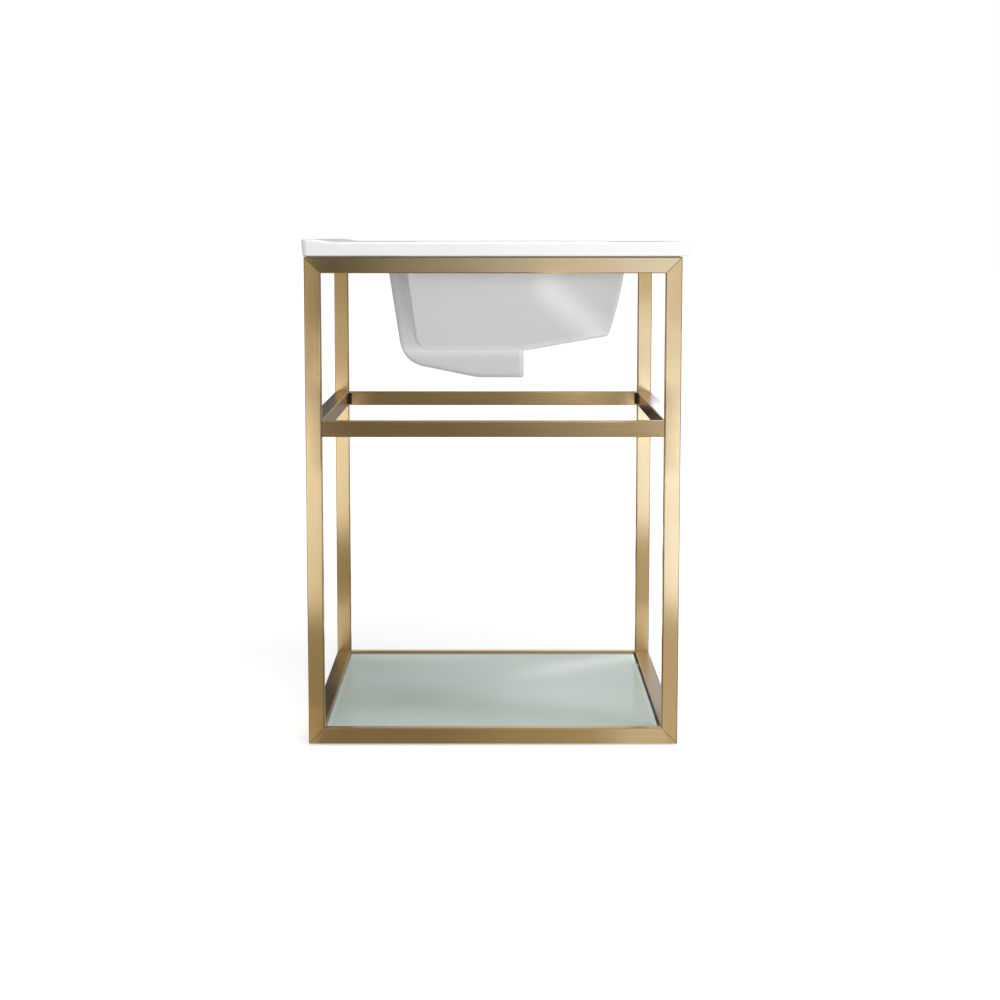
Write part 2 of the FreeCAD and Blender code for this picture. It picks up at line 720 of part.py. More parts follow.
def bowl_form(name, top, inset, heel_radius, toe_radius, edge_radius):
    """The bowl as a solid, from a depth below the deck down to its floor."""
    body = new_body(name)
    floor = f"({BOWL_DEPTH} - {inset})"
    end_floor = f"({BOWL_END_DEPTH} - {inset})"
    heel = (left_wall(floor, inset), f"-{floor}")
    rise = (BOSS_RIGHT, f"-{floor}")
    toe = (right_wall(end_floor, inset), f"-{end_floor}")
    profile = new_sketch(body, "Profile", "XZ_Plane")
    draw_outline(profile, [
        (left_wall(top, inset), f"-({top})"),
        heel,
        rise,
        (*toe, "bowl_right_curve", "right"),
        (right_wall(top, inset), f"-({top})"),
    ])
    pad(body, profile, "deck_depth", symmetric=True)
    trim = new_sketch(body, "Trim", "YZ_Plane")
    above = f"({top} - cut_overrun)"
    below = f"({floor} + cut_overrun)"
    for wall, outside in (
            (front_wall, "-deck_depth / 2 - cut_overrun"), (back_wall, "deck_depth / 2 + cut_overrun")):
        draw_outline(trim, [
            (outside, f"-{above}"),
            (wall(above, inset), f"-{above}"),
            (wall(below, inset), f"-{below}"),
            (outside, f"-{below}"),
        ])
    pocket_through(body, trim)
    round_edges(body, runs_along_y(*heel), heel_radius)
    round_edges(body, runs_along_y(*toe), toe_radius)
    round_edges(body, runs_along_y(*rise), "bowl_floor_radius")
    top_level = number(f"-({top})")
    round_edges(body, around_walls(body, lambda point: point.z > top_level - NEAR), edge_radius)
    return body


def drain_boss():
    """The round boss under the bowl that the drain passes through."""
    body = new_body("drain_boss")
    disc = new_sketch(body, "Disc", "XY_Plane")
    draw_circle(disc, "boss_diameter")
    pad(body, disc, "boss_drop + bowl_wall / 2")
    round_edges(body, lambda edge: edge.BoundBox.ZMax < NEAR, "boss_edge_radius")
    place(body, "drain_offset", DRAIN_Y, "-boss_depth")
    return body


CHANNEL_LEFT = "(-bowl_left - channel_reach)"
CHANNEL_WIDTH = "(bowl_front + bowl_back - 2 * channel_setback)"
CHANNEL_UNDERSIDE = "(boss_depth - channel_step)"
CHANNEL_KNEE = "(boss_depth - channel_knee_rise)"


def overflow_channel():
    """The outside of the overflow channel, down the bowl's left end and under its floor."""
    body = new_body("overflow_channel")
    knee = (f"{CHANNEL_LEFT} + channel_lean", f"-{CHANNEL_KNEE}")
    bend = (BOSS_LEFT, f"-{CHANNEL_UNDERSIDE}")
    end = (BOSS_RIGHT, f"-{CHANNEL_UNDERSIDE}")
    profile = new_sketch(body, "Profile", "XZ_Plane")
    draw_outline(profile, [
        (CHANNEL_LEFT, "-deck_thickness / 2"),
        knee,
        bend,
        end,
        (BOSS_RIGHT, "-deck_thickness / 2"),
    ])
    pad(body, profile, CHANNEL_WIDTH, symmetric=True)
    round_edges(body, runs_along_y(*knee), "channel_knee_radius")
    round_edges(body, runs_along_y(*bend), "channel_bend_radius")
    round_edges(body, runs_along_y(*end), "channel_end_radius")
    top_level = number("-deck_thickness / 2")
    round_edges(
        body, around_walls(body, lambda point: point.z > top_level - NEAR), "channel_edge_radius")
    place(body, y=DRAIN_Y)
    return body


def overflow_passage():
    """The hollow inside the overflow channel."""
    body = new_body("overflow_passage")
    roof = f"({BOWL_DEPTH} + passage_cover)"
    knee = (
        f"{CHANNEL_LEFT} + channel_lean + channel_wall",
        f"-({CHANNEL_KNEE} - channel_wall)")
    profile = new_sketch(body, "Profile", "XZ_Plane")
    draw_outline(profile, [
        (f"{CHANNEL_LEFT} + channel_wall", "-passage_top"),
        knee,
        (BOSS_LEFT, f"-({CHANNEL_UNDERSIDE} - channel_wall)"),
        (BOSS_LEFT, f"-{roof}"),
        (left_wall(roof, "(-passage_cover)"), f"-{roof}"),
        (left_wall("passage_top", "(-passage_cover)"), "-passage_top"),
    ])
    pad(body, profile, f"{CHANNEL_WIDTH} - 2 * channel_wall", symmetric=True)
    round_edges(body, runs_along_y(*knee), "channel_knee_radius - channel_wall")
    place(body, y=DRAIN_Y)
    return body


def drain_slot():
    """The overflow's way from its passage into the side of the drain."""
    slot = box("drain_slot", "boss_diameter / 2 + cut_overrun", "passage_slot", "passage_slot")
    place(
        slot, f"{BOSS_LEFT} - cut_overrun", f"{DRAIN_Y} - passage_slot / 2",
        f"-({CHANNEL_UNDERSIDE} - channel_wall)")
    return slot


def drain_bore():
    """The drain's bore, through the bowl's floor and the boss."""
    bore = cylinder("drain_bore", "drain_diameter", "boss_drop + bowl_wall + 2 * cut_overrun")
    place(bore, "drain_offset", DRAIN_Y, "-boss_depth - cut_overrun")
    return bore


def drain_seat():
    """The shallow recess in the bowl's floor for the drain's flange."""
    seat = cylinder("drain_seat", "drain_seat_diameter", "2 * drain_seat_depth")
    place(seat, "drain_offset", DRAIN_Y, f"-({BOWL_DEPTH} - bowl_wall + drain_seat_depth)")
    return seat


def tap_hole():
    """The tap's hole through the deck behind the bowl."""
    hole = cylinder("tap_hole", "tap_hole_diameter", "deck_thickness + 2 * cut_overrun")
    place(hole, "drain_offset", "deck_depth / 2 - tap_setback", "-deck_thickness - cut_overrun")
    return hole


def overflow_hole():
    """The overflow's hole through the bowl's left wall into its passage."""
    hole = cylinder("overflow_hole", "overflow_diameter", "channel_wall + 2 * bowl_wall")
    sideways = axes((0, 0, -1), (0, 1, 0), (1, 0, 0))
    place(hole, "-bowl_left - channel_wall", DRAIN_Y, "-overflow_drop", sideways)
    return hole


ceramic = document.addObject("Part::MultiFuse", "sink_ceramic")
ceramic.Shapes = [
    deck_form(),
    bowl_form(
        "bowl_outside", "deck_thickness / 2", "0",
        "bowl_heel_radius", "bowl_toe_radius", "bowl_edge_radius"),
    drain_boss(),
    overflow_channel(),
]
hollows = document.addObject("Part::MultiFuse", "sink_hollows")
hollows.Shapes = [
    bowl_form(
        "bowl_inside", "(-cut_overrun)", "bowl_wall",
        "bowl_inner_heel_radius", "bowl_inner_heel_radius", "bowl_inner_edge_radius"),
    overflow_passage(),
    drain_slot(),
    drain_bore(),
    drain_seat(),
    tap_hole(),
    overflow_hole(),
]
open_sink = cut("open_sink", ceramic, hollows)
document.recompute()


def on_rim(edge):
    """Whether an edge lies on the deck around the bowl's opening."""
    middle = middle_of(edge)
    across = number("-bowl_left") < middle.x < number("bowl_right")
    along = number("-bowl_front") < middle.y < number("bowl_back")
    return is_level(edge) and abs(middle.z) < NEAR and across and along


sink = document.addObject("Part::Fillet", "sink_top")
sink.Base = open_sink
rim_radius = number("rim_radius")
sink.Edges = [
    (index, rim_radius, rim_radius)
    for index, edge in enumerate(open_sink.Shape.Edges, start=1)
    if on_rim(edge)
]
place(sink, z=DECK_LEVEL)
sub_part(sink, "sink_top")
document.recompute()


# Check every object, then write one file for each piece
for item in document.Objects:
    if "Invalid" in item.State or "Error" in item.State:
        raise RuntimeError(f"{item.Label} did not build: {item.State}")
os.makedirs("parts", exist_ok=True)
for piece in sub_parts:
    shape = piece.Shape
    if shape.isNull() or not shape.isValid() or not shape.Solids:
        raise RuntimeError(f"{piece.Label} has no sound solid")
for piece in sub_parts:
    piece.Shape.exportStep(f"parts/{piece.Label}.step")
    print(piece.Label, len(piece.Shape.Solids), round(piece.Shape.Volume))
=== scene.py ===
"""Looks of the open console vanity unit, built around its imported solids.

The sections follow the unit as it is put together: the tube stand, its levelling feet,
the glass shelf, the bed and the sink top, and then the studio around them.
"""
import math

import bpy
from mathutils import Matrix, Vector


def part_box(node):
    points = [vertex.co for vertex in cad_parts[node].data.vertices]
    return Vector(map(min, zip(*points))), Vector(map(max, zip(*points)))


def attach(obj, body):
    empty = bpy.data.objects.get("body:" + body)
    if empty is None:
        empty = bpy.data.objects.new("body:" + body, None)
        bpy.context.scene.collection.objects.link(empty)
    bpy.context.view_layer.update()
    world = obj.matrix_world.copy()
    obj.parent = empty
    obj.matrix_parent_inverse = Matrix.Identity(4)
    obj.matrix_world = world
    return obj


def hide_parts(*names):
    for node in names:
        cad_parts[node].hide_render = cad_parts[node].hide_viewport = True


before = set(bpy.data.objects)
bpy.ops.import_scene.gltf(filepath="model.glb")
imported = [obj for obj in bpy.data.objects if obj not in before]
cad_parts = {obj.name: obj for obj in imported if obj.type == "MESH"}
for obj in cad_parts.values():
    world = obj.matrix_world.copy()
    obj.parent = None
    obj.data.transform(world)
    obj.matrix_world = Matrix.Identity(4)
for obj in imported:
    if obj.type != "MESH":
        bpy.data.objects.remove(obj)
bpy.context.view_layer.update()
bpy.ops.object.select_all(action="DESELECT")


# Tubes of the stand: flat and square steel tube, brushed along its length and coated in
# a warm gold tint. The front and back frames are mitred and welded, and the side rails are
# butt welded between them.
BRUSH_MARK_WIDTH = 0.0016
BRUSH_MARK_LENGTH = 0.16
BRUSH_MARK_HEIGHT = 0.00003
CLOUD_SIZE = 0.11
GOLD_DEEP = (0.600, 0.435, 0.215, 1.0)
GOLD_LIGHT = (0.680, 0.512, 0.270, 1.0)
# Painted shade: the darker colours of the tubes' rounded edges.
LEG_EDGE_SHADE = (0.190, 0.125, 0.055, 1.0)
RAIL_EDGE_SHADE = (0.430, 0.305, 0.145, 1.0)
ROUNDED_FACING = 0.86
FLAT_FACING = 0.995
ENDS = ("front", "back")
SIDES = ("left", "right")
LEVELS = ("top", "middle", "bottom")


def new_finish(name):
    """A material with an empty node tree, its shader and its output."""
    finish = bpy.data.materials.new(name)
    finish.use_nodes = True
    nodes = finish.node_tree.nodes
    nodes.clear()
    output = nodes.new("ShaderNodeOutputMaterial")
    shader = nodes.new("ShaderNodeBsdfPrincipled")
    finish.node_tree.links.new(shader.outputs["BSDF"], output.inputs["Surface"])
    return finish, shader


def add_node(finish, kind, inputs=(), **settings):
    """A node with its settings and inputs: a socket of another node is linked, a value is set."""
    node = finish.node_tree.nodes.new(kind)
    for key, value in settings.items():
        setattr(node, key, value)
    for key, value in dict(inputs).items():
        if isinstance(value, bpy.types.NodeSocket):
            finish.node_tree.links.new(value, node.inputs[key])
        else:
            node.inputs[key].default_value = value
    return node


def feed(finish, socket, target):
    """Link a socket to an input of a shader."""
    finish.node_tree.links.new(socket, target)


def maths(finish, operation, *values):
    """The result of an operation on one or two numbers."""
    return add_node(finish, "ShaderNodeMath", enumerate(values), operation=operation).outputs[0]


def vector_maths(finish, operation, *values):
    """The result of an operation on places or directions: a number for a product or a length."""
    node = add_node(finish, "ShaderNodeVectorMath", enumerate(values), operation=operation)
    return node.outputs["Value" if operation in ("DOT_PRODUCT", "LENGTH") else "Vector"]


def own_place(finish):
    """The place of a point of the surface, in object coordinates."""
    return add_node(finish, "ShaderNodeTexCoord").outputs["Object"]


def facing(finish):
    """The way that a point of the surface faces."""
    return add_node(finish, "ShaderNodeNewGeometry").outputs["Normal"]


def split(finish, vector):
    """The X, Y and Z of a place or a direction."""
    return add_node(finish, "ShaderNodeSeparateXYZ", {"Vector": vector}).outputs


def blend(finish, share, first, second):
    """The first colour with a share of the second in it."""
    mix = add_node(finish, "ShaderNodeMix", {"Factor": share, "A": first, "B": second}, data_type="RGBA")
    return mix.outputs["Result"]


def noise(finish, scale, detail=3.0, roughness=0.55):
    """Noise on object coordinates, with a scale in marks per metre along each axis."""
    stretch = add_node(finish, "ShaderNodeMapping", {"Vector": own_place(finish), "Scale": scale})
    texture = add_node(finish, "ShaderNodeTexNoise", {
        "Vector": stretch.outputs["Vector"], "Scale": 1.0, "Detail": detail, "Roughness": roughness})
    return texture.outputs["Fac"]


def between(finish, factor, low, high, start=0.3, end=0.7):
    """A number that follows a factor from low to high."""
    spread = add_node(finish, "ShaderNodeMapRange", {
        "Value": factor, "From Min": start, "From Max": end, "To Min": low, "To Max": high})
    return spread.outputs["Result"]


def tint(finish, factor, first, second, start=0.3, end=0.7):
    """A colour that follows a factor from the first to the second."""
    ramp = add_node(finish, "ShaderNodeValToRGB", {"Fac": factor})
    ramp.color_ramp.elements[0].position = start
    ramp.color_ramp.elements[0].color = first
    ramp.color_ramp.elements[1].position = end
    ramp.color_ramp.elements[1].color = second
    return ramp.outputs["Color"]


def relief(finish, height, distance, strength):
    """A bump of a real height."""
    bump = add_node(finish, "ShaderNodeBump", {
        "Height": height, "Distance": distance, "Strength": strength})
    return bump.outputs["Normal"]


def on_rounded_edge(finish):
    """One on the tube's rounded edges, zero on its flats."""
    parts = split(finish, vector_maths(finish, "ABSOLUTE", facing(finish)))
    wider = maths(finish, "MAXIMUM", parts["X"], parts["Y"])
    widest = maths(finish, "MAXIMUM", wider, parts["Z"])
    return between(finish, widest, 1.0, 0.0, start=ROUNDED_FACING, end=FLAT_FACING)


def brushed_gold(axis, edge):
    """Gold steel with its brush marks along one axis, and painted shade on its rounded edges."""
    finish, shader = new_finish(f"brushed_gold_along_{axis.lower()}")
    marks = [1 / BRUSH_MARK_WIDTH] * 3
    marks["XYZ".index(axis)] = 1 / BRUSH_MARK_LENGTH
    grain = noise(finish, marks, detail=5.0, roughness=0.65)
    clouds = noise(finish, [1 / CLOUD_SIZE] * 3, detail=2.0)
    shade = maths(finish, "MULTIPLY", maths(finish, "ADD", grain, clouds), 0.5)
    film = tint(finish, shade, GOLD_DEEP, GOLD_LIGHT)
    feed(finish, blend(finish, on_rounded_edge(finish), film, edge), shader.inputs["Base Color"])
    feed(finish, between(finish, grain, 0.19, 0.25), shader.inputs["Roughness"])
    feed(finish, relief(finish, grain, BRUSH_MARK_HEIGHT, 0.35), shader.inputs["Normal"])
    around = add_node(finish, "ShaderNodeTangent", direction_type="RADIAL", axis=axis)
    feed(finish, around.outputs["Tangent"], shader.inputs["Tangent"])
    shader.inputs["Metallic"].default_value = 1.0
    shader.inputs["Anisotropic"].default_value = 0.9
    return finish


def finish_nodes(finish, names):
    """Give carried-over solids their finish."""
    for name in names:
        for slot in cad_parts[name].material_slots:
            slot.material = finish


finish_nodes(brushed_gold("Z", LEG_EDGE_SHADE), [f"{end}_{side}_leg" for end in ENDS for side in SIDES])
finish_nodes(brushed_gold("X", RAIL_EDGE_SHADE), [f"{end}_{level}_rail" for end in ENDS for level in LEVELS])
finish_nodes(brushed_gold("Y", LEG_EDGE_SHADE), [f"{side}_{level}_rail" for side in SIDES for level in LEVELS])


# Seams of the stand: a weld bead along each mitre and butt joint, ground almost flush, where
# the gold film lies thinner and darker, and round fillets in the corners of the middle frame,
# nearly black, which are painted shade in those corners. One bead is shaped, and a copy is laid
# in each joint.
MITRE_BEAD = 0.0010
BUTT_BEAD = 0.0016
CORNER_BEAD = 0.0050
FILLET_BEAD = 0.0110
GROUND_RISE = 0.00010
FILLET_RISE = 0.0011
BEAD_END = 0.04
BEAD_END_WIDTH = 0.4
TUBE = 0.0254
FRAME_TUBE = 0.0127
ROUNDED = 0.0022
UNBRUSHED_AND_SHADE = ((0.170, 0.113, 0.050, 1), (0.250, 0.170, 0.078, 1))
# Painted shade: the nearly black colour of the middle frame's corner fillets.
CORNER_SHADE = ((0.026, 0.018, 0.011, 1), (0.060, 0.041, 0.023, 1))
stand_low, stand_high = Vector(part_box("front_left_leg")[0]), Vector(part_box("back_right_leg")[1])
middle_low = Vector(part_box("left_middle_rail")[0])


def select_faces(mesh, wanted):
    """Select the faces whose normal is wanted, in edit mode."""
    bpy.ops.mesh.select_all(action="DESELECT")
    bpy.ops.object.mode_set(mode="OBJECT")
    for face in mesh.polygons:
        face.select = wanted(face.normal)
    bpy.ops.object.mode_set(mode="EDIT")


def shape_bead():
    """A bead one unit long, wide and high along Z, drawn in towards both ends."""
    bpy.ops.object.select_all(action="DESELECT")
    bpy.ops.mesh.primitive_cylinder_add(vertices=12, radius=0.5, depth=1 - 2 * BEAD_END)
    shaped = bpy.context.object
    bpy.ops.object.mode_set(mode="EDIT")
    bpy.ops.mesh.select_mode(type="FACE")
    for side in (-1, 1):
        select_faces(shaped.data, lambda normal: normal.z * side > FLAT_FACING)
        bpy.ops.mesh.extrude_region_move(TRANSFORM_OT_translate={"value": (0, 0, BEAD_END * side)})
        bpy.ops.transform.resize(value=(BEAD_END_WIDTH, BEAD_END_WIDTH, 1.0))
    bpy.ops.object.mode_set(mode="OBJECT")
    bpy.ops.object.shade_smooth_by_angle()
    return shaped


def seam_gold(name, first, second):
    """Gold film without brush marks, in two given colours: the ground seams, and painted shade on the
    shelf tabs and the middle frame's corner fillets.
    """
    finish, shader = new_finish(name)
    grain = noise(finish, [1 / BRUSH_MARK_WIDTH] * 3, detail=4.0)
    feed(finish, tint(finish, grain, first, second), shader.inputs["Base Color"])
    feed(finish, between(finish, grain, 0.30, 0.40), shader.inputs["Roughness"])
    shader.inputs["Metallic"].default_value = 1.0
    return finish


def along_z(x, y, bottom, look, width, rise):
    """A line up one side of a rail, between its rounded edges."""
    first = Vector((x, y, bottom + ROUNDED))
    return first, first + Vector((0, 0, TUBE - 2 * ROUNDED)), Vector(look), width, rise


def ground_lines():
    """Where each ground seam starts and ends, which way its face looks, its width and its rise."""
    low, high = stand_low, stand_high
    run = TUBE - 2 * ROUNDED
    lines = []
    for x, across in ((low.x, 1), (high.x, -1)):
        inner = x + across * TUBE
        faces = (low.y, -1), (high.y, 1), (low.y + FRAME_TUBE, 1), (high.y - FRAME_TUBE, -1)
        for y, look in faces:
            for z, upward in ((low.z, 1), (high.z, -1)):
                first = Vector((x + across * ROUNDED, y, z + upward * ROUNDED))
                last = first + Vector((across * run, 0, upward * run))
                lines.append((first, last, Vector((0, look, 0)), MITRE_BEAD, GROUND_RISE))
        for y, look in faces[:2]:
            lines.append(along_z(inner, y, middle_low.z, (0, look, 0), BUTT_BEAD, GROUND_RISE))
        for y in (low.y + FRAME_TUBE, high.y - FRAME_TUBE):
            for bottom in (low.z, high.z - TUBE):
                lines.append(along_z(inner, y, bottom, (across, 0, 0), CORNER_BEAD, GROUND_RISE))
            for bottom in (low.z, middle_low.z, high.z - TUBE):
                first = Vector((x + across * ROUNDED, y, bottom + TUBE))
                last = first + Vector((across * run, 0, 0))
                lines.append((first, last, Vector((0, 0, 1)), BUTT_BEAD, GROUND_RISE))
    return lines


def fillet_lines():
    """The same for the fillets, one on each of the two faces that meet in a corner."""
    lines = []
    for x, across in ((stand_low.x + TUBE, 1), (stand_high.x - TUBE, -1)):
        for y, look in ((stand_low.y + FRAME_TUBE, 1), (stand_high.y - FRAME_TUBE, -1)):
            for face in ((0, look, 0), (across, 0, 0)):
                lines.append(along_z(x, y, middle_low.z, face, FILLET_BEAD, FILLET_RISE))
    return lines


def own_copy(piece):
    """A copy of a piece, with a mesh of its own."""
    copied = piece.copy()
    copied.data = piece.data.copy()
    bpy.context.scene.collection.objects.link(copied)
    return copied


def lay_beads(name, bead, lines, finish):
    """A copy of the bead along each line, joined into one piece of the stand."""
    bpy.ops.object.select_all(action="DESELECT")
    for first, last, look, width, rise in lines:
        seam = own_copy(bead)
        along = (last - first).normalized()
        turn = Matrix((look.cross(along), look, along)).transposed()
        seam.matrix_world = Matrix.Translation((first + last) / 2) @ turn.to_4x4() @ Matrix.Diagonal(
            (width, 2 * rise, (last - first).length, 1.0))
        seam.select_set(True)
    bpy.context.view_layer.objects.active = seam
    bpy.ops.object.join()
    seam.name = name
    bpy.ops.object.transform_apply(location=True, rotation=True, scale=True)
    seam.data.materials.append(finish)
    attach(seam, "stand")


unbrushed_and_shaded_gold = seam_gold("unbrushed_and_shaded_gold", *UNBRUSHED_AND_SHADE)
corner_shade_gold = seam_gold("corner_shade_gold", *CORNER_SHADE)
bead = shape_bead()
lay_beads("stand_seams", bead, ground_lines(), unbrushed_and_shaded_gold)
lay_beads("stand_shade_fillets", bead, fillet_lines(), corner_shade_gold)
bpy.data.objects.remove(bead)


# Levelling feet: a zinc-plated weld nut and stud in each end of the bottom side rails,
# and a black nylon glide pressed on the stud, turned by its two flats. One stud's thread is
# cut here, and the other three studs are copies of it.
CORNERS = [f"{end}_{side}" for end in ENDS for side in SIDES]
ZINC = ((0.46, 0.46, 0.45, 1), (0.60, 0.60, 0.58, 1))
ZINC_BLOTCHES = 140.0
NYLON = ((0.012, 0.012, 0.013, 1), (0.026, 0.026, 0.027, 1))
NYLON_PORES = 1800.0
PORE_DEPTH = 0.00008
THREAD_PITCH = 0.00125
THREAD_DEPTH = 0.0007
THREAD_STEPS = 28
THREAD_MERGE = 0.000005


def plated_steel():
    finish, shader = new_finish("plated_steel")
    blotches = noise(finish, [ZINC_BLOTCHES] * 3, detail=4.0)
    feed(finish, tint(finish, blotches, *ZINC), shader.inputs["Base Color"])
    feed(finish, between(finish, blotches, 0.28, 0.42), shader.inputs["Roughness"])
    shader.inputs["Metallic"].default_value = 1.0
    return finish


def black_nylon():
    finish, shader = new_finish("black_nylon")
    pores = noise(finish, [NYLON_PORES] * 3, detail=3.0)
    feed(finish, tint(finish, pores, *NYLON), shader.inputs["Base Color"])
    feed(finish, between(finish, pores, 0.42, 0.58), shader.inputs["Roughness"])
    feed(finish, relief(finish, pores, PORE_DEPTH, 0.4), shader.inputs["Normal"])
    return finish


def select_points(mesh, wanted):
    """Select the points whose place is wanted, in edit mode."""
    bpy.ops.mesh.select_all(action="DESELECT")
    bpy.ops.object.mode_set(mode="OBJECT")
    for point in mesh.vertices:
        point.select = wanted(point.co)
    bpy.ops.object.mode_set(mode="EDIT")


def thread_profile(root):
    """One pitch of the vee, from root to crest to root, in the plane of X and Z."""
    bpy.ops.object.select_all(action="DESELECT")
    bpy.ops.mesh.primitive_plane_add(
        size=THREAD_PITCH,
        location=(root + THREAD_PITCH / 2, 0, THREAD_PITCH / 2),
        rotation=(math.pi / 2, 0, 0))
    profile = bpy.context.object
    bpy.ops.object.transform_apply(location=True, rotation=True, scale=True)
    bpy.ops.object.mode_set(mode="EDIT")
    bpy.ops.mesh.select_mode(type="VERT")
    bpy.ops.mesh.select_all(action="SELECT")
    bpy.ops.mesh.subdivide(number_cuts=2)
    select_points(profile.data, lambda place: place.x > root + THREAD_PITCH / 6)
    bpy.ops.mesh.delete(type="VERT")
    select_points(profile.data, lambda place: abs(place.z - THREAD_PITCH / 2) < THREAD_PITCH / 4)
    bpy.ops.transform.translate(value=(THREAD_DEPTH, 0, 0))
    bpy.ops.transform.resize(value=(1, 1, 0.5))
    bpy.ops.object.mode_set(mode="OBJECT")
    return profile


def cut_thread(low, high):
    """A stud with a vee thread from end to end, in the place of a plain one."""
    middle = (low + high) / 2
    stud = thread_profile((high.x - low.x) / 2 - THREAD_DEPTH)
    winding = stud.modifiers.new("winding", "SCREW")
    winding.axis = "Z"
    winding.screw_offset = THREAD_PITCH
    winding.iterations = math.ceil((high.z - low.z) / THREAD_PITCH) + 2
    winding.steps = winding.render_steps = THREAD_STEPS
    winding.use_merge_vertices = True
    bpy.ops.object.modifier_apply(modifier=winding.name)
    bpy.ops.object.mode_set(mode="EDIT")
    bpy.ops.mesh.select_all(action="SELECT")
    bpy.ops.mesh.remove_doubles(threshold=THREAD_MERGE)
    bpy.ops.transform.translate(value=(middle.x, middle.y, low.z - 1.5 * THREAD_PITCH))
    for level, upward in ((low.z, -1), (high.z, 1)):
        bpy.ops.mesh.select_all(action="SELECT")
        bpy.ops.mesh.bisect(plane_co=(middle.x, middle.y, level), plane_no=(0, 0, upward),
                            use_fill=True, clear_outer=True)
    bpy.ops.mesh.select_all(action="SELECT")
    bpy.ops.mesh.normals_make_consistent(inside=False)
    bpy.ops.object.mode_set(mode="OBJECT")
    bpy.ops.object.shade_smooth_by_angle()
    return stud


plating = plated_steel()
stud_low, stud_high = (Vector(place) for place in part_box(f"{CORNERS[0]}_stud"))
first_stud = cut_thread(stud_low, stud_high)
first_stud.data.materials.append(plating)
threaded_studs = [first_stud]
for corner in CORNERS[1:]:
    copied_stud = own_copy(first_stud)
    copied_stud.data.transform(Matrix.Translation(Vector(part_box(f"{corner}_stud")[0]) - stud_low))
    threaded_studs.append(copied_stud)
for corner, threaded_stud in zip(CORNERS, threaded_studs):
    threaded_stud.name = f"{corner}_threaded_stud"
    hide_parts(f"{corner}_stud")
    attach(threaded_stud, f"{corner}_stud")
finish_nodes(plating, ["leveller_nuts"] + [f"{corner}_stud" for corner in CORNERS])
finish_nodes(black_nylon(), [f"{corner}_glide" for corner in CORNERS])


# Shelf: a frosted glass panel lying loose on six clear silicone pads, each on a flat tab
# welded to the inside of a bottom rail below the glass.
GLINT_WIDTH = 0.009
GLASS_PANEL = ((0.560, 0.665, 0.610, 1), (0.600, 0.705, 0.650, 1))
# Painted highlight: the pale band along the glass's outline.
GLASS_GLINT = (0.72, 0.86, 0.86, 1)
GLASS_EDGE = (0.030, 0.085, 0.070, 1)
FROST_GRAINS = 2600.0
FROST_HEIGHT = 0.00002
HAZE_CLOUDS = (5.0, 7.0, 5.0)
PAD_SILICONE = ((0.55, 0.56, 0.55, 1), (0.63, 0.64, 0.63, 1))
SILICONE_CLOUDS = 300.0
glass_low, glass_high = (Vector(corner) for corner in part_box("shelf_glass"))
glass_middle = (glass_low + glass_high) / 2
glass_half = (glass_high - glass_low) / 2


def frosted_glass():
    """Greenish frosted glass with a painted highlight, a pale band along its outline, and dark cut
    edges.
    """
    finish, shader = new_finish("frosted_glass")
    frost = noise(finish, [FROST_GRAINS] * 3, detail=2.0)
    haze = noise(finish, HAZE_CLOUDS, detail=2.0)
    panel = tint(finish, haze, *GLASS_PANEL)
    from_middle = vector_maths(finish, "SUBTRACT", own_place(finish), glass_middle)
    sides = split(finish, vector_maths(finish, "ABSOLUTE", from_middle))
    across = between(finish, sides["X"], 0.0, 1.0, start=glass_half.x - GLINT_WIDTH, end=glass_half.x)
    along = between(finish, sides["Y"], 0.0, 1.0, start=glass_half.y - GLINT_WIDTH, end=glass_half.y)
    glinted = blend(finish, maths(finish, "MAXIMUM", across, along), panel, GLASS_GLINT)
    flat = maths(finish, "ABSOLUTE", split(finish, facing(finish))["Z"])
    edge = between(finish, flat, 1.0, 0.0, start=0.2, end=0.6)
    feed(finish, blend(finish, edge, glinted, GLASS_EDGE), shader.inputs["Base Color"])
    feed(finish, between(finish, haze, 0.13, 0.16), shader.inputs["Roughness"])
    feed(finish, relief(finish, frost, FROST_HEIGHT, 0.05), shader.inputs["Normal"])
    shader.inputs["Transmission Weight"].default_value = 0.15
    shader.inputs["IOR"].default_value = 1.5
    return finish


def silicone(name, first, second):
    finish, shader = new_finish(name)
    cloud = noise(finish, [SILICONE_CLOUDS] * 3, detail=2.0)
    feed(finish, tint(finish, cloud, first, second), shader.inputs["Base Color"])
    feed(finish, between(finish, cloud, 0.38, 0.5), shader.inputs["Roughness"])
    return finish


# Painted shade: the tabs take the darker unbrushed gold of the seams, for the dark gap beside the glass.
finish_nodes(unbrushed_and_shaded_gold, ["shelf_tabs"])
finish_nodes(silicone("pad_silicone", *PAD_SILICONE), ["shelf_pads"])
finish_nodes(frosted_glass(), ["shelf_glass"])


# Sink bed: a bead of grey silicone, laid along the top rails while soft and pressed flat by
# the sink top, which it holds in its place.
BED_SILICONE = ((0.21, 0.21, 0.21, 1), (0.27, 0.27, 0.27, 1))
finish_nodes(silicone("bed_silicone", *BED_SILICONE), ["sink_bed"])


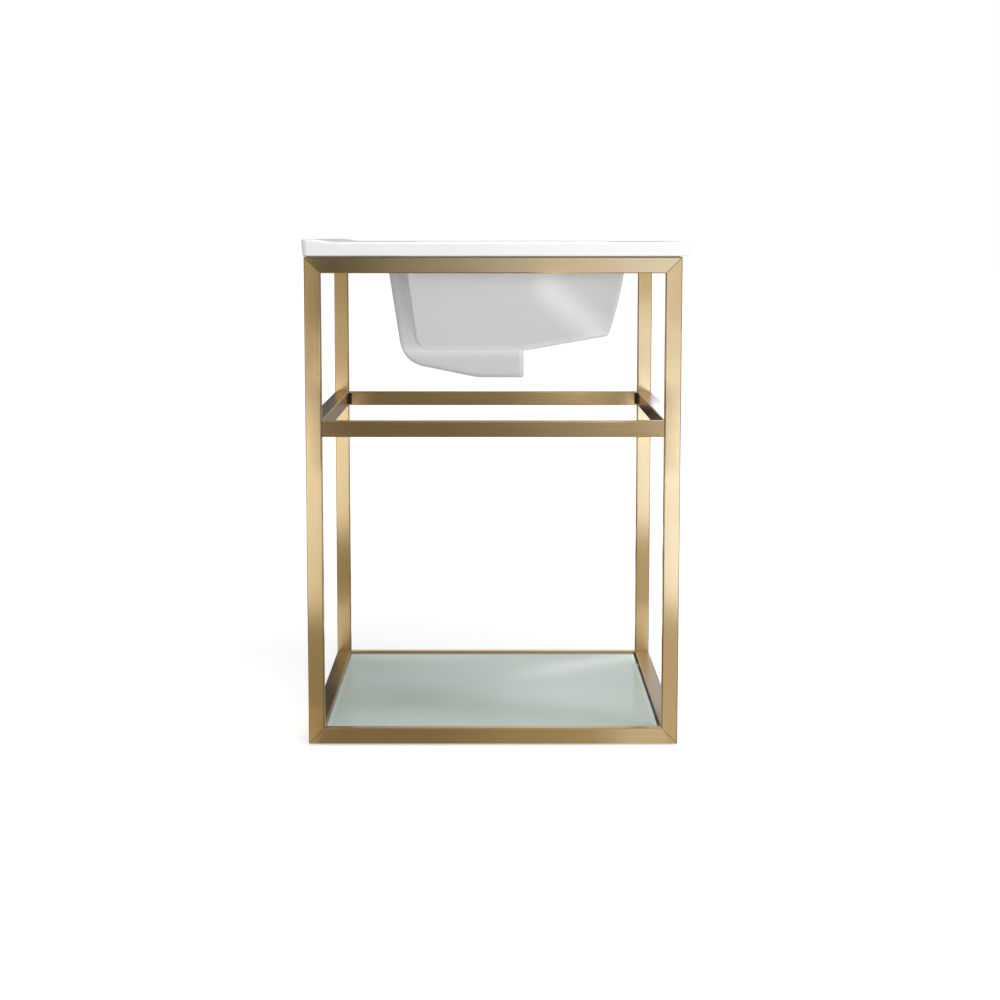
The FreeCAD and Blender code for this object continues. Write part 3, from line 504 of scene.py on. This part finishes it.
# Sink top: deck, bowl, drain boss and overflow channel, slip cast as one ceramic piece. Deck and
# bowl are white glaze inside. Below the deck and outside the bowl the colour is painted shade,
# darker towards the foot, with a painted highlight along the bowl's lower edge and painted shade
# where the overflow channel leaves the bowl's left end.
DECK_LEVEL = 0.796
UNDERSIDE_DEPTH = 0.0205
FOOT_LEVEL = 0.572
LOWER_EDGE = (0.622, 0.646)
LOWER_EDGE_RISES = (0.034, 0.170)
HIGHLIGHT_REACH = 0.011
CHANNEL_MOUTH = ((-1.0, 0.0, -0.118), 0.0528)
CHANNEL_FADE = 0.006
CHANNEL_RISES = (0.62, 0.68)
OUTSIDE_WALLS = {
    "front": ((0.0, -1.0, 0.118), 0.1668),
    "back": ((0.0, 1.0, 0.118), 0.1168),
    "left": ((-1.0, 0.0, 0.118), 0.1411),
    "right": ((1.0, 0.0, 0.195), 0.2048),
    "floor": ((0.18, 0.0, 1.0), 0.1760),
}
UNSHADED_GLAZE = ((0.835, 0.835, 0.835, 1), (0.855, 0.855, 0.85, 1))
# Painted shade: the greyer colours below the deck and outside the bowl, darker towards the foot.
UPPER_SHADE_GLAZE = ((0.815, 0.819, 0.828, 1), (0.835, 0.839, 0.848, 1))
LOWER_SHADE_GLAZE = ((0.590, 0.594, 0.604, 1), (0.610, 0.614, 0.624, 1))
# Painted highlight: the whiter band along the bowl's lower edge.
EDGE_HIGHLIGHT_GLAZE = (0.790, 0.794, 0.804, 1)
# Painted shade: the darker colour where the overflow channel leaves the bowl's left end.
CHANNEL_SHADE_GLAZE = (0.600, 0.604, 0.612, 1)
GLAZE_CLOUDS = 9.0
GLAZE_RIPPLES = 38.0
RIPPLE_HEIGHT = 0.0004


def outside_of_bowl(finish):
    """One on the sink's underside and outside the middle of the bowl's walls, zero elsewhere."""
    flip = add_node(finish, "ShaderNodeMapping", {
        "Vector": own_place(finish), "Location": (0, 0, DECK_LEVEL), "Scale": (1, 1, -1)})
    below_deck = flip.outputs["Vector"]
    farthest = 0.0
    for slope, reach in OUTSIDE_WALLS.values():
        along = vector_maths(finish, "DOT_PRODUCT", below_deck, slope)
        farthest = maths(finish, "MAXIMUM", farthest, maths(finish, "SUBTRACT", along, reach))
    outside = maths(finish, "GREATER_THAN", farthest, 0.0)
    below = maths(finish, "GREATER_THAN", split(finish, below_deck)["Z"], UNDERSIDE_DEPTH)
    return maths(finish, "MULTIPLY", outside, below)


def painted_underside(finish, clouds):
    """The colour below the deck: painted shade, darker towards the foot, and a painted highlight along
    the bowl's lower edge.
    """
    sides = split(finish, own_place(finish))
    upper = tint(finish, clouds, *UPPER_SHADE_GLAZE)
    lower = tint(finish, clouds, *LOWER_SHADE_GLAZE)
    darker_to_foot = between(finish, sides["Z"], 1.0, 0.0, start=FOOT_LEVEL, end=DECK_LEVEL - UNDERSIDE_DEPTH)
    rise_from, rise_to = LOWER_EDGE_RISES
    edge_level = between(finish, sides["X"], *LOWER_EDGE, start=rise_from, end=rise_to)
    from_edge = maths(finish, "ABSOLUTE", maths(finish, "SUBTRACT", sides["Z"], edge_level))
    highlight = between(finish, from_edge, 1.0, 0.0, start=0.0, end=HIGHLIGHT_REACH)
    return blend(finish, highlight, blend(finish, darker_to_foot, upper, lower), EDGE_HIGHLIGHT_GLAZE)


def beside_channel(finish):
    """One where the overflow channel leaves the bowl's left end, zero elsewhere."""
    place = own_place(finish)
    slope, reach = CHANNEL_MOUTH
    along = vector_maths(finish, "DOT_PRODUCT", place, slope)
    beside = between(finish, along, 0.0, 1.0, start=reach, end=reach + CHANNEL_FADE)
    rise_from, rise_to = CHANNEL_RISES
    high = between(finish, split(finish, place)["Z"], 0.0, 1.0, start=rise_from, end=rise_to)
    return maths(finish, "MULTIPLY", beside, high)


def white_glaze():
    finish, shader = new_finish("white_glaze")
    clouds = noise(finish, [GLAZE_CLOUDS] * 3, detail=2.0)
    ripple = noise(finish, [GLAZE_RIPPLES] * 3, detail=1.0)
    unshaded = tint(finish, clouds, *UNSHADED_GLAZE)
    shaded = blend(finish, beside_channel(finish), painted_underside(finish, clouds), CHANNEL_SHADE_GLAZE)
    feed(finish, blend(finish, outside_of_bowl(finish), unshaded, shaded), shader.inputs["Base Color"])
    feed(finish, between(finish, clouds, 0.07, 0.12), shader.inputs["Roughness"])
    feed(finish, relief(finish, ripple, RIPPLE_HEIGHT, 0.12), shader.inputs["Normal"])
    shader.inputs["IOR"].default_value = 1.52
    return finish


finish_nodes(white_glaze(), ["sink_top"])


# Studio floor: a wide pale sheet under the unit that keeps its soft shadow, burns out to
# white away from it and is clear from below.
FLOOR_SIZE = 60.0
SHADOW_REACH = 1.1
BURN_OUT_REACH = 2.4
SHADOW_GLOW = 0.46
BURN_OUT_GLOW = 0.75
PAPER = ((0.79, 0.79, 0.79, 1), (0.81, 0.81, 0.81, 1))
PAPER_FIBRES = 60.0


def seen_directly(finish):
    """One where a ray comes from the camera, a gloss or a clear piece, and zero for plain light."""
    rays = add_node(finish, "ShaderNodeLightPath").outputs
    seen = maths(finish, "MAXIMUM", rays["Is Camera Ray"], rays["Is Glossy Ray"])
    return maths(finish, "MAXIMUM", seen, rays["Is Transmission Ray"])


def floor_paper():
    finish, shader = new_finish("floor_paper")
    fibres = noise(finish, [PAPER_FIBRES] * 3, detail=3.0)
    feed(finish, tint(finish, fibres, *PAPER), shader.inputs["Base Color"])
    reach = vector_maths(finish, "LENGTH", own_place(finish))
    lift = between(finish, reach, SHADOW_GLOW, BURN_OUT_GLOW, start=SHADOW_REACH, end=BURN_OUT_REACH)
    glow = maths(finish, "MULTIPLY", seen_directly(finish), lift)
    feed(finish, glow, shader.inputs["Emission Strength"])
    shader.inputs["Emission Color"].default_value = (1, 1, 1, 1)
    shader.inputs["Roughness"].default_value = 0.9
    shader.inputs["Specular IOR Level"].default_value = 0.1
    from_below = add_node(finish, "ShaderNodeNewGeometry").outputs["Backfacing"]
    clear = add_node(finish, "ShaderNodeBsdfTransparent")
    one_sided = add_node(finish, "ShaderNodeMixShader", {
        0: from_below, 1: shader.outputs["BSDF"], 2: clear.outputs["BSDF"]})
    output = finish.node_tree.nodes["Material Output"]
    feed(finish, one_sided.outputs["Shader"], output.inputs["Surface"])
    return finish


bpy.ops.mesh.primitive_plane_add(size=FLOOR_SIZE, location=(0, 0, 0))
floor = bpy.context.object
floor.name = "studio_floor"
floor.data.materials.append(floor_paper())


# Studio air: an even white surround, at a lower level where it lights the unit than where
# it is seen.
AIR_LIGHT = 0.42
AIR_SEEN = 1.0
studio = bpy.data.worlds.new("studio")
bpy.context.scene.world = studio
studio.use_nodes = True
studio.node_tree.nodes.clear()
surround = add_node(studio, "ShaderNodeBackground", {
    "Color": (1, 1, 1, 1),
    "Strength": between(studio, seen_directly(studio), AIR_LIGHT, AIR_SEEN, start=0.0, end=1.0)})
add_node(studio, "ShaderNodeOutputWorld", {"Surface": surround.outputs["Background"]})


# Studio lamps: a broad softbox over the unit, two from the right and the front that reach
# in under the deck, and a weak one from the back left that fills the shelf and the shadow.
def new_object(name, data):
    """An object in the scene for a lamp, a mesh or a camera."""
    made = bpy.data.objects.new(name, data)
    bpy.context.scene.collection.objects.link(made)
    return made


def softbox(name, place, target, size, power):
    """A rectangular lamp that looks at a target and doesn't show in gloss."""
    lamp = bpy.data.lights.new(name, "AREA")
    lamp.shape = "RECTANGLE"
    lamp.size, lamp.size_y = size
    lamp.energy = power
    holder = new_object(name, lamp)
    holder.location = place
    holder.rotation_euler = (Vector(target) - Vector(place)).to_track_quat("-Z", "Y").to_euler()
    holder.visible_glossy = False


softbox("top_softbox", (0.6, -0.9, 2.7), (0.0, 0.0, 0.7), (2.0, 1.6), 36.0)
softbox("right_softbox", (2.6, -1.5, 1.1), (0.0, 0.0, 0.6), (1.2, 1.6), 25.0)
softbox("front_softbox", (0.3, -3.4, 1.0), (0.0, 0.0, 0.6), (2.0, 1.6), 20.0)
softbox("back_softbox", (-1.5, 2.2, 1.5), (-0.1, 0.1, 0.0), (1.2, 1.2), 12.0)


# Studio cards: felt and paper panels around the unit that only its gloss sees, dark and
# warm in the middle, light at the sides and cool towards the right.
WARM = (1.0, 0.89, 0.68, 1.0)
PLAIN = (1.0, 1.0, 1.0, 1.0)
PALE = (0.96, 1.0, 1.12, 1.0)
COOL = (0.86, 1.0, 1.42, 1.0)
BLUISH = (0.91, 1.0, 1.34, 1.0)
DULL = (1.0, 0.92, 0.84, 1.0)
CARD_LIFT = 0.003
FRONT_Y = -5.0
MIDWAY_Y = -2.9
NEAR_Y = -0.95
FLAG_Y = -0.6
TOE_Y = -0.40
FOOT_Y = -0.215
BEHIND_Y = 0.30
BACK_Y = 3.0


def gloss_panel(name, corners):
    """A flat panel that stays out of the picture, the plain light and the shadows."""
    mesh = bpy.data.meshes.new(name)
    mesh.from_pydata(corners, [], [range(len(corners))])
    panel = new_object(name, mesh)
    panel.visible_camera = False
    panel.visible_diffuse = False
    panel.visible_shadow = False
    panel.visible_transmission = False
    return panel


def gloss_card(name, colour, corners, level, to_level=None, across=(-0.5, 0.5), to_colour=None):
    """A panel of one level and colour, or one that runs to others between two places across."""
    finish, shader = new_finish(name)
    start, end = across
    side = split(finish, own_place(finish))["X"]
    fade = between(finish, side, level, level if to_level is None else to_level, start=start, end=end)
    feed(finish, fade, shader.inputs["Emission Strength"])
    shader.inputs["Emission Color"].default_value = colour
    if to_colour:
        share = between(finish, side, 0.0, 1.0, start=start, end=end)
        colours = tint(finish, share, colour, to_colour, start=0.0, end=1.0)
        feed(finish, colours, shader.inputs["Emission Color"])
    shader.inputs["Base Color"].default_value = (0, 0, 0, 1)
    shader.inputs["Specular IOR Level"].default_value = 0.0
    gloss_panel(name, corners).data.materials.append(finish)


def soft_strip(name, first, last, y, half_width, level, fade=0.4):
    """An upright strip between two places across and up. It fades in from the first and to its sides."""
    first, last = (Vector((across, y, up)) for across, up in (first, last))
    along = (last - first).normalized()
    aside = along.cross(Vector((0, 1, 0)))
    offset = aside * half_width
    finish = bpy.data.materials.new(name)
    finish.use_nodes = True
    finish.node_tree.nodes.clear()
    from_first = vector_maths(finish, "SUBTRACT", own_place(finish), first)
    distance = maths(finish, "ABSOLUTE", vector_maths(finish, "DOT_PRODUCT", from_first, aside))
    run = vector_maths(finish, "DOT_PRODUCT", from_first, along)
    to_sides = between(finish, distance, 1.0, 0.0, start=0.0, end=half_width)
    to_first = between(finish, run, 0.0, 1.0, start=0.0, end=fade * (last - first).length)
    share = maths(finish, "MULTIPLY", to_sides, to_first)
    glow = add_node(finish, "ShaderNodeEmission", {"Strength": level})
    clear = add_node(finish, "ShaderNodeBsdfTransparent")
    both = add_node(finish, "ShaderNodeMixShader", {
        0: share, 1: clear.outputs["BSDF"], 2: glow.outputs["Emission"]})
    add_node(finish, "ShaderNodeOutputMaterial", {"Surface": both.outputs["Shader"]})
    strip = gloss_panel(name, [first - offset, last - offset, last + offset, first + offset])
    strip.data.materials.append(finish)


def on_floor(*spots):
    return [(x, y, CARD_LIFT) for x, y in spots]


def lying(left, right, near, far):
    return on_floor((left, near), (right, near), (right, far), (left, far))


def upright(y, left, right, low, high):
    return [(left, y, low), (right, y, low), (right, y, high), (left, y, high)]


gloss_card("near_felt", WARM, lying(-0.22, 0.16, NEAR_Y, FOOT_Y), 0.30, 0.52, (-0.12, 0.16))
gloss_card("near_left_felt", WARM, lying(-2.0, -0.22, NEAR_Y, TOE_Y), 0.44, 0.30, (-0.31, -0.26))
gloss_card("foot_left_felt", WARM, lying(-2.0, -0.22, TOE_Y, FOOT_Y), 0.60, 0.29, (-0.294, -0.278))
gloss_card("near_right_felt", PLAIN, lying(0.16, 0.272, NEAR_Y, FOOT_Y), 0.52, 0.80, (0.16, 0.22))
gloss_card("far_right_felt", DULL, lying(0.272, 2.0, NEAR_Y, FOOT_Y), 0.72)
gloss_card("runner_felt", WARM, on_floor(
    (-0.38, NEAR_Y), (-0.68, MIDWAY_Y), (-0.82, FRONT_Y),
    (0.82, FRONT_Y), (0.62, MIDWAY_Y), (0.34, NEAR_Y)), 0.20, 0.45, (-0.5, 0.7))
gloss_card("left_paper", PALE, on_floor(
    (-1.1, -1.06), (-1.4, MIDWAY_Y), (-0.68, MIDWAY_Y), (-0.42, -1.06)), 2.45)
gloss_card("far_left_paper", PALE, on_floor(
    (-1.4, MIDWAY_Y), (-1.9, FRONT_Y), (-0.82, FRONT_Y), (-0.68, MIDWAY_Y)), 3.7)
gloss_card("right_paper", COOL, on_floor(
    (0.38, -1.1), (0.62, MIDWAY_Y), (1.4, MIDWAY_Y), (1.05, -1.1)), 3.05)
gloss_card("far_right_paper", COOL, on_floor(
    (0.62, MIDWAY_Y), (0.82, FRONT_Y), (1.9, FRONT_Y), (1.4, MIDWAY_Y)), 4.9)
gloss_card("middle_flag", DULL, upright(FLAG_Y, -0.35, 0.345, 0.38, 0.53), 0.17, 0.48, (0.0, 0.33))
gloss_card("top_flag", PLAIN, upright(FLAG_Y, -0.362, 0.345, 0.64, 0.97),
           0.085, 1.22, (-0.295, 0.26), BLUISH)
gloss_card("top_left_flag", WARM, upright(FLAG_Y, -0.8, -0.362, 0.64, 0.97),
           0.28, 1.75, (-0.455, -0.395))
gloss_card("top_right_flag", WARM, upright(FLAG_Y, 0.345, 0.8, 0.64, 0.97), 0.72, 1.15, (0.40, 0.47))
gloss_card("front_low_left_paper", WARM, upright(FRONT_Y, -3.0, -0.82, 0.0, 0.45), 0.75)
gloss_card("front_low_felt", WARM, upright(FRONT_Y, -0.82, 0.82, 0.0, 0.45), 0.20, 0.62, (-0.6, 0.7))
gloss_card("front_low_right_paper", COOL, upright(FRONT_Y, 0.82, 1.9, 0.0, 0.45), 2.35)
gloss_card("front_left_felt", WARM, upright(FRONT_Y, -3.0, -0.88, 0.45, 1.0), 1.0)
gloss_card("front_high_left_felt", PLAIN, upright(FRONT_Y, -3.0, -0.88, 1.0, 4.5), 0.22)
gloss_card("front_felt", PLAIN, upright(FRONT_Y, -0.88, 0.88, 0.45, 4.5), 0.10, 1.10, (-0.78, 0.79))
gloss_card("front_right_felt", PLAIN, upright(FRONT_Y, 0.88, 3.0, 0.45, 1.35), 0.60)
gloss_card("front_high_right_paper", COOL, upright(FRONT_Y, 0.88, 3.0, 1.35, 4.5), 1.5)
gloss_card("back_felt", WARM, on_floor(
    (-0.8, 0.25), (0.8, 0.25), (1.2, BACK_Y), (-1.2, BACK_Y)), 0.24, 0.32)
gloss_card("back_foot_felt", DULL, upright(BACK_Y, -4.0, 4.0, 0.0, 0.72), 0.27)
gloss_card("back_low_paper", PLAIN, upright(BACK_Y, -4.0, 4.0, 0.72, 0.84), 0.35, 0.9, (-0.6, 0.4))
gloss_card("back_left_felt", PLAIN, upright(BACK_Y, -4.0, -0.66, 0.84, 3.6), 0.0)
gloss_card("back_paper", PLAIN, upright(BACK_Y, -0.66, 0.66, 0.84, 3.6), 0.52, 1.05, (-0.45, 0.35))
gloss_card("back_right_paper", COOL, upright(BACK_Y, 0.66, 4.0, 0.84, 3.6), 0.8)
gloss_card("deck_paper", PLAIN, upright(0.32, -0.45, 0.45, 0.797, 0.88), 0.55)
gloss_card("under_felt", PLAIN, lying(0.225, 0.258, -0.208, 0.208), 0.0)
gloss_card("shelf_left_paper", PLAIN, upright(BEHIND_Y, -0.30, 0.12, 0.03, 0.25),
           0.50, 1.0, (-0.23, 0.10))
gloss_card("shelf_right_paper", PLAIN, upright(BEHIND_Y, 0.12, 0.31, 0.03, 0.25),
           1.0, 0.75, (0.14, 0.28))
gloss_card("low_left_felt", PALE, upright(BEHIND_Y, -1.2, -0.30, 0.03, 0.25), 0.12)
gloss_card("low_right_paper", COOL, upright(BEHIND_Y, 0.31, 1.2, 0.03, 0.25), 0.60)
gloss_card("high_left_felt", PALE, upright(BEHIND_Y, -1.2, -0.285, 0.52, 0.62), 0.12)
gloss_card("middle_right_paper", PALE, upright(BEHIND_Y, 0.276, 1.2, 0.52, 0.552), 0.80)
gloss_card("high_right_paper", COOL, upright(BEHIND_Y, 0.276, 1.2, 0.552, 0.62), 1.75)
soft_strip("inner_right_shade", (0.15, 0.47), (0.30, 0.47), 0.296, 0.06, 0.0, 0.35)
soft_strip("shelf_left_shade", (0.02, 0.150), (-0.45, 0.144), 0.299, 0.036, 0.0, 0.35)
soft_strip("shelf_right_shade", (-0.20, 0.143), (0.33, 0.207), 0.297, 0.034, 0.0, 0.35)
soft_strip("shelf_strip", (0.0, 0.1005), (0.31, 0.049), 0.298, 0.015, 1.9)
soft_strip("shelf_far_strip", (0.12, 0.050), (-0.31, 0.050), 0.298, 0.020, 1.3)
soft_strip("bowl_strip", (0.065, 0.704), (0.205, 0.575), -0.30, 0.036, 4.0, 0.12)


# Camera: in front of the unit at sink height, tipped slightly down, with its lens shifted so
# that the whole unit stands in the picture.
CAMERA_PLACE = (-0.0045, -2.476, 0.8053)
CAMERA_TIP = math.radians(5.0)
CAMERA_SENSOR = 36.0
CAMERA_LENS = 52.594
CAMERA_SHIFT = (0.0069, -0.1364)
lens = bpy.data.cameras.new("camera")
lens.sensor_width = CAMERA_SENSOR
lens.lens = CAMERA_LENS
lens.shift_x, lens.shift_y = CAMERA_SHIFT
camera = new_object("camera", lens)
camera.location = CAMERA_PLACE
camera.rotation_euler = (math.radians(90) - CAMERA_TIP, 0, 0)
bpy.context.scene.camera = camera
bpy.context.scene.view_settings.view_transform = "Standard"
